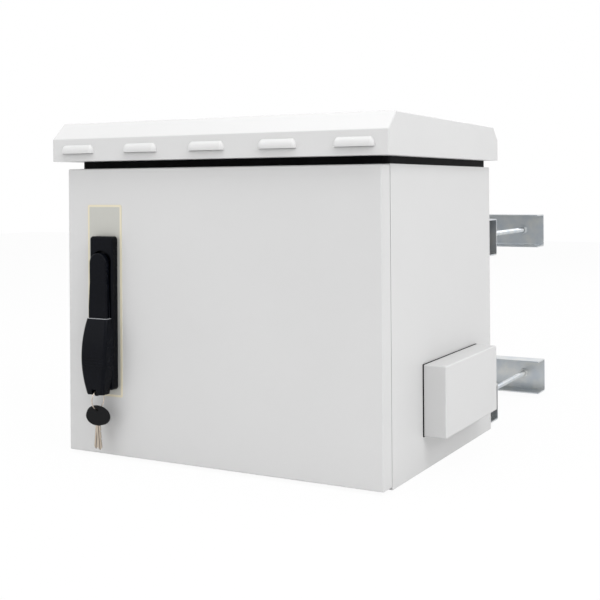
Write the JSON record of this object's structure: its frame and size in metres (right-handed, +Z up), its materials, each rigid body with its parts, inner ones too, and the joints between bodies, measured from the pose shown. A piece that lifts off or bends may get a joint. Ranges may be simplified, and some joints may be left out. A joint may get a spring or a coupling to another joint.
{
  "type": "outdoor rack cabinet",
  "caption": "Light grey outdoor rack cabinet with a louvred rain roof, a hinged door with a black swing handle, a vent hood and channel clamps for a pole behind.",
  "frame": {"origin": "centre of the cabinet's underside, midway between the body's front edge and its back", "axes": "+X to the right as seen from the front, +Y to the back, towards the pole clamp, +Z up"},
  "size_m": [0.66, 0.9449, 0.5744],
  "materials": {
    "powder_grey": "fine-textured light grey powder coat",
    "zinc": "zinc plated steel",
    "handle_black": "satin black powder coat",
    "black_plastic": "matt moulded plastic",
    "rubber": "black EPDM rubber",
    "plate_cream": "smooth light plate",
    "nickel": "nickel plated",
    "filter_foam": "open-pored filter mat"
  },
  "bodies": {
    "cabinet": {"body_shell": "powder_grey", "top_panel": "powder_grey", "base_panel": "powder_grey", "front_frame": "powder_grey", "gland_plate": "powder_grey", "vent_hood": "powder_grey", "roof_canopy": "powder_grey", "roof_tray": "powder_grey", "hinge_arms": "powder_grey", "gland_screws": "zinc", "rail_support_lower_left": "zinc", "rail_support_upper_left": "zinc", "rail_support_lower_right": "zinc", "rail_support_upper_right": "zinc", "rack_rail_front_left": "zinc", "rack_rail_rear_left": "zinc", "rack_rail_front_right": "zinc", "rack_rail_rear_right": "zinc", "rail_screws": "zinc", "hood_nuts": "zinc", "earth_stud": "zinc", "roof_spacers": "zinc", "roof_bolts": "zinc", "hinge_pins": "zinc", "channel_front_lower": "zinc", "channel_front_upper": "zinc", "front_nuts": "zinc", "wall_bolts": "zinc", "clamp_rods": "zinc", "filter_frame": "black_plastic", "gland_gasket": "rubber", "cable_grommets": "rubber", "hood_gasket": "rubber", "roof_seal": "rubber", "filter_mat": "filter_foam"},
    "door": {"door_panel": "powder_grey", "door_gasket": "rubber", "door_stiffener": "powder_grey", "hinge_leaves": "powder_grey", "label_plate": "plate_cream", "handle_base": "handle_black", "handle_ring_nut": "zinc", "handle_clamp": "zinc", "clamp_screws": "zinc"},
    "handle": {"handle_hub": "handle_black", "spindle": "zinc", "latch_cam": "zinc", "cam_screw": "zinc", "lever_pin": "zinc"},
    "lever": {"handle_lever": "handle_black"},
    "cover": {"lock_cover": "handle_black"},
    "lock": {"lock_cylinder": "nickel"},
    "keys": {"key_ring": "nickel", "key_front": "black_plastic", "key_rear": "black_plastic"},
    "clamp_lower": {"channel_rear_lower": "zinc", "rear_nuts_lower": "zinc"},
    "clamp_upper": {"channel_rear_upper": "zinc", "rear_nuts_upper": "zinc"}
  },
  "joints": [
    {"name": "door_hinge", "type": "hinge", "parent": "cabinet", "child": "door", "pos_m": [0.294, -0.25, 0.2475], "axis": [0, 0, 1], "range_deg": [0, 105]},
    {"name": "handle_swivel", "type": "hinge", "parent": "door", "child": "handle", "pos_m": [-0.217, -0.266, 0.333], "axis": [0, -1, 0], "range_deg": [0, 90]},
    {"name": "lever_lift", "type": "hinge", "parent": "handle", "child": "lever", "pos_m": [-0.217, -0.2774, 0.333], "axis": [-1, 0, 0], "range_deg": [0, 30]},
    {"name": "cover_slide", "type": "slide", "parent": "lever", "child": "cover", "axis": [0, 0, 1], "range_m": [0, 0.04]},
    {"name": "lock_turn", "type": "hinge", "parent": "lever", "child": "lock", "pos_m": [-0.217, -0.296, 0.14], "axis": [0, -1, 0], "range_deg": [0, 90]},
    {"name": "key_swing", "type": "hinge", "parent": "lever", "child": "keys", "pos_m": [-0.217, -0.291, 0.1183], "axis": [0, 1, 0], "range_deg": [-25, 25]},
    {"name": "clamp_lower_slide", "type": "slide", "parent": "cabinet", "child": "clamp_lower", "axis": [0, 1, 0], "range_m": [-0.2, 0.01]},
    {"name": "clamp_upper_slide", "type": "slide", "parent": "cabinet", "child": "clamp_upper", "axis": [0, 1, 0], "range_m": [-0.2, 0.01]}
  ]
}
